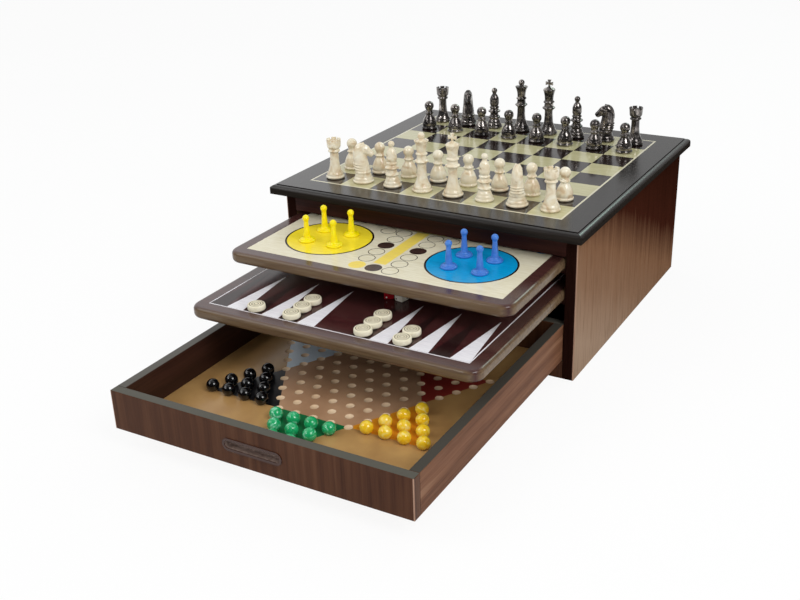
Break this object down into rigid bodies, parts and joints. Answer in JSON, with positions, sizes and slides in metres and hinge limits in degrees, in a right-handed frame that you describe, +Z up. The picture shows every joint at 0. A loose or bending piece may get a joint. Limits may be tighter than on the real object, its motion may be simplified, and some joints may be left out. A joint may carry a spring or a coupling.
{
  "type": "games compendium box",
  "caption": "Wooden games cabinet with a chess top, slide-out ludo and backgammon boards and a drawer with a star chequers board, set out with its pieces.",
  "frame": {"origin": "middle of the cabinet's underside", "axes": "+X to the right seen from the front, -Y the front where the boards and drawer come out, +Z up"},
  "size_m": [0.36, 0.6458, 0.2312],
  "materials": {
    "carcass": "semi-gloss brown-stained veneer with upright grain",
    "top_lacquer": "satin black-brown lacquer",
    "chess_print": "lacquered chequer of olive-beige and near-black squares",
    "board_lacquer": "glossy dark brown lacquer",
    "ludo_print": "printed cream sheet under clear lacquer",
    "reverse_print": "printed cream sheet under clear lacquer",
    "backgammon_print": "printed dark maroon sheet under clear lacquer",
    "pull_plastic": "moulded, glossy",
    "star_board": "printed and lacquered board, golden brown",
    "green_glass": "opaque swirled glass, glossy",
    "yellow_glass": "opaque swirled glass, glossy",
    "black_glass": "opaque glass, glossy",
    "yellow_plastic": "moulded",
    "blue_plastic": "moulded",
    "disc_plastic": "moulded, glossy",
    "red_plastic": "moulded, clear red, with white pips",
    "white_plastic": "moulded, with black pips",
    "white_men": "moulded, ivory-coloured and marbled",
    "black_men": "moulded, glossy gunmetal black"
  },
  "bodies": {
    "cabinet": {"side_panel_left": "carcass", "side_panel_right": "carcass", "back_panel": "carcass", "bottom_panel": "carcass", "plinth_rail": "carcass", "apron_rail": "carcass", "drawer_runner_left": "carcass", "drawer_runner_right": "carcass", "backgammon_runner_left": "carcass", "backgammon_runner_right": "carcass", "ludo_runner_left": "carcass", "ludo_runner_right": "carcass", "top_board": "top_lacquer", "chess_sheet": "chess_print"},
    "drawer": {"drawer_front": "carcass", "drawer_side_left": "carcass", "drawer_side_right": "carcass", "drawer_back": "carcass", "drawer_pull": "pull_plastic", "star_floor": "star_board"},
    "ludo_slide_board": {"ludo_board": "board_lacquer", "ludo_sheet": "ludo_print", "ludo_reverse_sheet": "reverse_print"},
    "backgammon_slide_board": {"backgammon_board": "board_lacquer", "backgammon_sheet": "backgammon_print"},
    "white_king_set": {"white_king": "white_men"},
    "white_queen_set": {"white_queen": "white_men"},
    "white_bishops_set": {"white_bishops": "white_men"},
    "white_knights_set": {"white_knights": "white_men"},
    "white_rooks_set": {"white_rooks": "white_men"},
    "white_pawns_set": {"white_pawns": "white_men"},
    "black_king_set": {"black_king": "black_men"},
    "black_queen_set": {"black_queen": "black_men"},
    "black_bishops_set": {"black_bishops": "black_men"},
    "black_knights_set": {"black_knights": "black_men"},
    "black_rooks_set": {"black_rooks": "black_men"},
    "black_pawns_set": {"black_pawns": "black_men"},
    "yellow_ludo_pawns_set": {"yellow_ludo_pawns": "yellow_plastic"},
    "blue_ludo_pawns_set": {"blue_ludo_pawns": "blue_plastic"},
    "backgammon_discs_set": {"backgammon_discs": "disc_plastic"},
    "red_die_set": {"red_die": "red_plastic"},
    "white_die_set": {"white_die": "white_plastic"},
    "black_marbles_set": {"black_marbles": "black_glass"},
    "green_marbles_set": {"green_marbles": "green_glass"},
    "yellow_marbles_set": {"yellow_marbles": "yellow_glass"}
  },
  "joints": [
    {"name": "drawer_slide", "type": "slide", "parent": "cabinet", "child": "drawer", "axis": [0, 1, 0], "range_m": [0, 0.305]},
    {"name": "ludo_board_slide", "type": "slide", "parent": "cabinet", "child": "ludo_slide_board", "axis": [0, 1, 0], "range_m": [0, 0.1255]},
    {"name": "backgammon_board_slide", "type": "slide", "parent": "cabinet", "child": "backgammon_slide_board", "axis": [0, 1, 0], "range_m": [0, 0.1915]},
    {"name": "white_king_lift", "type": "slide", "parent": "cabinet", "child": "white_king_set", "axis": [0, 0, 1], "range_m": [0, 0.1]},
    {"name": "white_queen_lift", "type": "slide", "parent": "cabinet", "child": "white_queen_set", "axis": [0, 0, 1], "range_m": [0, 0.1]},
    {"name": "white_bishops_lift", "type": "slide", "parent": "cabinet", "child": "white_bishops_set", "axis": [0, 0, 1], "range_m": [0, 0.1]},
    {"name": "white_knights_lift", "type": "slide", "parent": "cabinet", "child": "white_knights_set", "axis": [0, 0, 1], "range_m": [0, 0.1]},
    {"name": "white_rooks_lift", "type": "slide", "parent": "cabinet", "child": "white_rooks_set", "axis": [0, 0, 1], "range_m": [0, 0.1]},
    {"name": "white_pawns_lift", "type": "slide", "parent": "cabinet", "child": "white_pawns_set", "axis": [0, 0, 1], "range_m": [0, 0.1]},
    {"name": "black_king_lift", "type": "slide", "parent": "cabinet", "child": "black_king_set", "axis": [0, 0, 1], "range_m": [0, 0.1]},
    {"name": "black_queen_lift", "type": "slide", "parent": "cabinet", "child": "black_queen_set", "axis": [0, 0, 1], "range_m": [0, 0.1]},
    {"name": "black_bishops_lift", "type": "slide", "parent": "cabinet", "child": "black_bishops_set", "axis": [0, 0, 1], "range_m": [0, 0.1]},
    {"name": "black_knights_lift", "type": "slide", "parent": "cabinet", "child": "black_knights_set", "axis": [0, 0, 1], "range_m": [0, 0.1]},
    {"name": "black_rooks_lift", "type": "slide", "parent": "cabinet", "child": "black_rooks_set", "axis": [0, 0, 1], "range_m": [0, 0.1]},
    {"name": "black_pawns_lift", "type": "slide", "parent": "cabinet", "child": "black_pawns_set", "axis": [0, 0, 1], "range_m": [0, 0.1]},
    {"name": "yellow_ludo_pawns_lift", "type": "slide", "parent": "cabinet", "child": "yellow_ludo_pawns_set", "axis": [0, 0, 1], "range_m": [0, 0.1255]},
    {"name": "blue_ludo_pawns_lift", "type": "slide", "parent": "cabinet", "child": "blue_ludo_pawns_set", "axis": [0, 0, 1], "range_m": [0, 0.1255]},
    {"name": "backgammon_discs_lift", "type": "slide", "parent": "backgammon_slide_board", "child": "backgammon_discs_set", "axis": [0, 0, 1], "range_m": [0, 0.012]},
    {"name": "red_die_lift", "type": "slide", "parent": "backgammon_slide_board", "child": "red_die_set", "axis": [0, 0, 1], "range_m": [0, 0.008]},
    {"name": "white_die_lift", "type": "slide", "parent": "backgammon_slide_board", "child": "white_die_set", "axis": [0, 0, 1], "range_m": [0, 0.008]},
    {"name": "black_marbles_lift", "type": "slide", "parent": "drawer", "child": "black_marbles_set", "axis": [0, 0, 1], "range_m": [0, 0.04]},
    {"name": "green_marbles_lift", "type": "slide", "parent": "drawer", "child": "green_marbles_set", "axis": [0, 0, 1], "range_m": [0, 0.04]},
    {"name": "yellow_marbles_lift", "type": "slide", "parent": "drawer", "child": "yellow_marbles_set", "axis": [0, 0, 1], "range_m": [0, 0.04]}
  ],
  "couplings": [
    {"joint": "yellow_ludo_pawns_lift", "follows": "ludo_board_slide", "ratio": 1},
    {"joint": "blue_ludo_pawns_lift", "follows": "ludo_board_slide", "ratio": 1}
  ]
}
